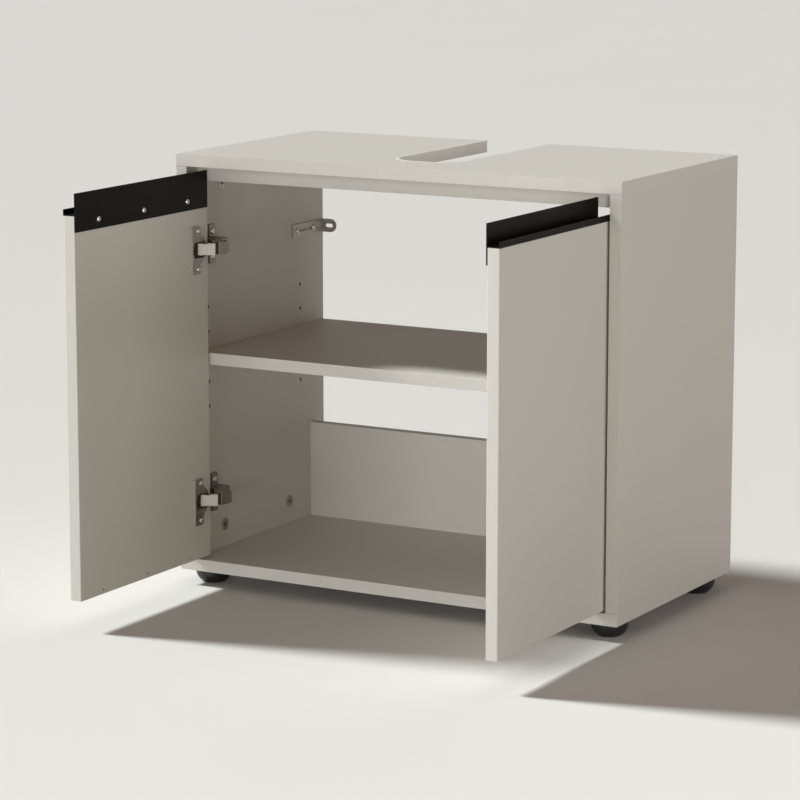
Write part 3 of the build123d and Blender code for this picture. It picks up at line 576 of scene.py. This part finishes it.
def without(mesh, cutter, name):
    """The mesh with the cutter taken out of it, worked out once on two passing objects."""
    body, tool = (bpy.data.objects.new(name, part) for part in (mesh, cutter))
    for part in (body, tool):
        bpy.context.scene.collection.objects.link(part)
    cut = body.modifiers.new("cut", "BOOLEAN")
    cut.operation, cut.solver, cut.use_self, cut.object = "DIFFERENCE", "EXACT", True, tool
    graph = bpy.context.evaluated_depsgraph_get()
    result = bpy.data.meshes.new_from_object(body.evaluated_get(graph))
    for part in (body, tool):
        bpy.data.objects.remove(part)
    return result


def pan_screw(radius, height, shank, length):
    """One screw in millimetres: its seat at 0, its head upwards."""
    outline = [(0.0, height), (radius * 0.45, height * 0.97), (radius * 0.75, height * 0.80)]
    outline += [(radius * 0.93, height * 0.48), (radius, height * 0.14), (radius * 0.985, 0.0)]
    outline += [(shank, 0.0), (shank, -length + shank * 0.6), (shank * 0.45, -length), (0.0, -length)]
    cutter = cross_cutter(radius * 0.56, radius * 0.24, height, height * 0.72)
    return without(mesh_of(spun(outline), "blank"), mesh_of(cutter, "cutter"), "pan screw")


print("screw heads ready")

# %% [markdown]
# ## Screws in their places
# One screw is made for each kind and then set at each place, turned a little further every
# time, so that the recesses don't line up. The places are those of the CAD screws, counted
# from the same faces: the side panels' inner faces, the front, the back and the hinge edge
# of an open door.

# %% Screws in their places
first_turn, next_turn = 0.5, 2.4
smooth_within = radians(32)


def set_screws(node, body, screw, seats):
    """Copies of one screw at the seats, in one piece that takes the CAD node's place."""
    shape = bmesh.new()
    for count, (seat, direction) in enumerate(seats):
        first = len(shape.verts)
        shape.from_mesh(screw)
        shape.verts.ensure_lookup_table()
        upright = Vector((0, 0, 1)).rotation_difference(Vector(direction)).to_matrix().to_4x4()
        spin = Matrix.Rotation(first_turn + count * next_turn, 4, "Z")
        place = Matrix.Translation(Vector(seat) * mm) @ upright @ Matrix.Scale(mm, 4) @ spin
        bmesh.ops.transform(shape, matrix=place, verts=shape.verts[first:])
    mesh = mesh_of(shape, node)
    piece = bpy.data.objects.new(f"{node}_shaped", mesh)
    bpy.context.scene.collection.objects.link(piece)
    mesh.materials.append(bright_zinc)
    mesh.shade_smooth()
    mesh.set_sharp_from_angle(angle=smooth_within)
    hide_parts(node)
    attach(piece, body)
    print(node, len(mesh.polygons), "faces")


inner_half, front_y, back_y, hinge_edge_y = 292.5, -30.75, 299.25, -11.75
hinge_rows, grip_row, bracket_row = (432.0, 112.0), 495.0, 424.5
grip_columns, cup_column, cup_rises = (47.5, 143.5, 239.5), 26.5, (-24, 24)
plate_column, plate_rises = 54.0, (-16, 16)
arm_columns, bracket_columns = (47.5, 57.0), (69.0, 28.0)
plate_seat, arm_seat, bracket_seat, grip_seat, cup_seat = 2.5, 20.5, 2.0, 19.5, 21.3
# Each screw by the radius and height of its head and the radius and length of its shank.
grip_screw, cup_screw = pan_screw(3.4, 1.8, 1.7, 12.5), pan_screw(3.4, 1.6, 1.8, 13.3)
plate_screw, arm_screw = pan_screw(4.2, 1.6, 2.4, 12.5), pan_screw(3.2, 1.2, 2.0, 18.5)
bracket_screw = pan_screw(3.4, 2.2, 1.5, 12.5)
plates, arms, brackets = [], [], []


def seats_at(hand, inset, places):
    """Seats this far off one side panel's inner face, at places given as y and z."""
    return [((hand * (inner_half - inset), y, z), (-hand, 0, 0)) for y, z in places]


for side, hand in sides.items():
    grips = [(hinge_edge_y - column, grip_row) for column in grip_columns]
    cups = [(hinge_edge_y - cup_column, row + rise) for row in hinge_rows for rise in cup_rises]
    set_screws(f"{side}_grip_screws", f"{side}_door", grip_screw, seats_at(hand, grip_seat, grips))
    set_screws(f"{side}_cup_screws", f"{side}_door", cup_screw, seats_at(hand, cup_seat, cups))
    plate_places = [(front_y + plate_column, row + rise) for row in hinge_rows for rise in plate_rises]
    arm_places = [(front_y + column, row) for row in hinge_rows for column in arm_columns]
    bracket_places = [(back_y - column, bracket_row) for column in bracket_columns]
    plates += seats_at(hand, plate_seat, plate_places)
    arms += seats_at(hand, arm_seat, arm_places)
    brackets += seats_at(hand, bracket_seat, bracket_places)
set_screws("mounting_plate_screws", "carcass", plate_screw, plates)
set_screws("hinge_adjusting_screws", "carcass", arm_screw, arms)
set_screws("wall_bracket_screws", "carcass", bracket_screw, brackets)

# %% [markdown]
# ## Camera
# One camera fitted to the corners of the carcass and the doors in the photograph, from the
# front right and a little above.

# %% Camera
dip, turn = 10.429, 29.523
camera_data = bpy.data.cameras.new("camera")
camera_data.lens = 148.67
camera_data.sensor_width = 36.0
camera_data.clip_end = 50.0
camera = bpy.data.objects.new("camera", camera_data)
bpy.context.scene.collection.objects.link(camera)
camera.location = (1.9561, -3.4622, 0.9930)
camera.rotation_euler = (radians(90 - dip), 0.0, radians(turn))
bpy.context.scene.camera = camera
print("camera at", tuple(camera.location))

# %% [markdown]
# ## Floor
# A plain floor, pale where a ray shows it and darker in the light that it sends back to the
# object. A floor as pale in both would flood the shaded insides of the cabinet from below.

# %% Floor
pale_floor, floor_bounce = (0.750, 0.728, 0.700), (0.30, 0.29, 0.27)
floor_half = 12.0


def floor_recipe(place):
    pale = place.noise(1.4, 2.0).tint(pale_floor, 0.01)
    return {
        "Base Color": place.shown().blend(floor_bounce, pale),
        "Roughness": 0.62 + (place.noise(3.0, 3.0) - 0.5) * 0.08,
    }


shape = bmesh.new()
bmesh.ops.create_grid(shape, x_segments=1, y_segments=1, size=floor_half)
floor_mesh = mesh_of(shape, "floor")
floor_mesh.materials.append(new_material("studio floor", floor_recipe))
floor = bpy.data.objects.new("floor", floor_mesh)
bpy.context.scene.collection.objects.link(floor)
print("floor laid,", 2 * floor_half, "m wide")

# %% [markdown]
# ## Lamps
# A sun with a wide disc stands 42 degrees high at the left, so that the tops catch it and
# the left door shades what is behind it. A broad soft light low in front reaches into the
# compartments, and two smaller ones light the right side and the open right door. A single
# lamp would leave either the insides or the right side too dark.

# %% Lamps
middle = Vector((0.0, 0.0, 0.28))


def area_light(name, place, size, power, colour):
    """A rectangle of light at a place, facing the middle of the cabinet."""
    lamp = bpy.data.lights.new(name, "AREA")
    lamp.shape = "RECTANGLE"
    lamp.size, lamp.size_y = size
    lamp.energy = power
    lamp.color = colour
    holder = bpy.data.objects.new(name, lamp)
    holder.location = place
    holder.rotation_euler = (middle - Vector(place)).to_track_quat("-Z", "Y").to_euler()
    bpy.context.scene.collection.objects.link(holder)


area_light("front", place=(-0.1, -3.6, 0.45), size=(2.4, 0.8), power=54.0, colour=(0.95, 0.98, 1.0))
area_light("fill", place=(3.2, 0.1, 0.8), size=(1.0, 1.2), power=19.5, colour=(0.92, 0.93, 1.0))
area_light("low fill", place=(2.9, -1.3, 0.4), size=(1.0, 0.7), power=12.7, colour=(1.0, 1.0, 0.88))
sun_lamp = bpy.data.lights.new("sun", "SUN")
sun_lamp.energy = 4.15
sun_lamp.angle = radians(9)
sun_lamp.color = (0.93, 0.99, 1.0)
sun = bpy.data.objects.new("sun", sun_lamp)
sun_height, sun_turn = radians(42), radians(10.5)
towards = Vector((cos(sun_height) * cos(sun_turn), cos(sun_height) * sin(sun_turn), -sin(sun_height)))
sun.rotation_euler = towards.to_track_quat("-Z", "Y").to_euler()
bpy.context.scene.collection.objects.link(sun)
print("three lamps and a sun")

# %% [markdown]
# ## Surround
# The surround is pale where a ray shows it, and sends only a weak warm light to the object.
# The two are told apart as they are in the floor. One pale surround for both would lift the
# shaded sides of the cabinet too far.

# %% Surround
ambient_colour, ambient_strength = (1.0, 0.70, 0.50), 0.125
pale_surround = (0.36, 0.355, 0.35)
world = bpy.data.worlds.new("surround")
bpy.context.scene.world = world
world.use_nodes = True
tree = world.node_tree
ambient = tree.nodes["Background"]
ambient.inputs["Color"].default_value = (*ambient_colour, 1.0)
ambient.inputs["Strength"].default_value = ambient_strength
pale = tree.nodes.new("ShaderNodeBackground")
pale.inputs["Color"].default_value = (*pale_surround, 1.0)
mix = tree.nodes.new("ShaderNodeMixShader")
factor = Field(tree, ambient.outputs[0]).shown()
for number, socket in enumerate((factor.socket, ambient.outputs[0], pale.outputs[0])):
    tree.links.new(socket, mix.inputs[number])
tree.links.new(mix.outputs[0], tree.nodes["World Output"].inputs["Surface"])
bpy.context.scene.view_settings.view_transform = "Standard"
print("studio lit")
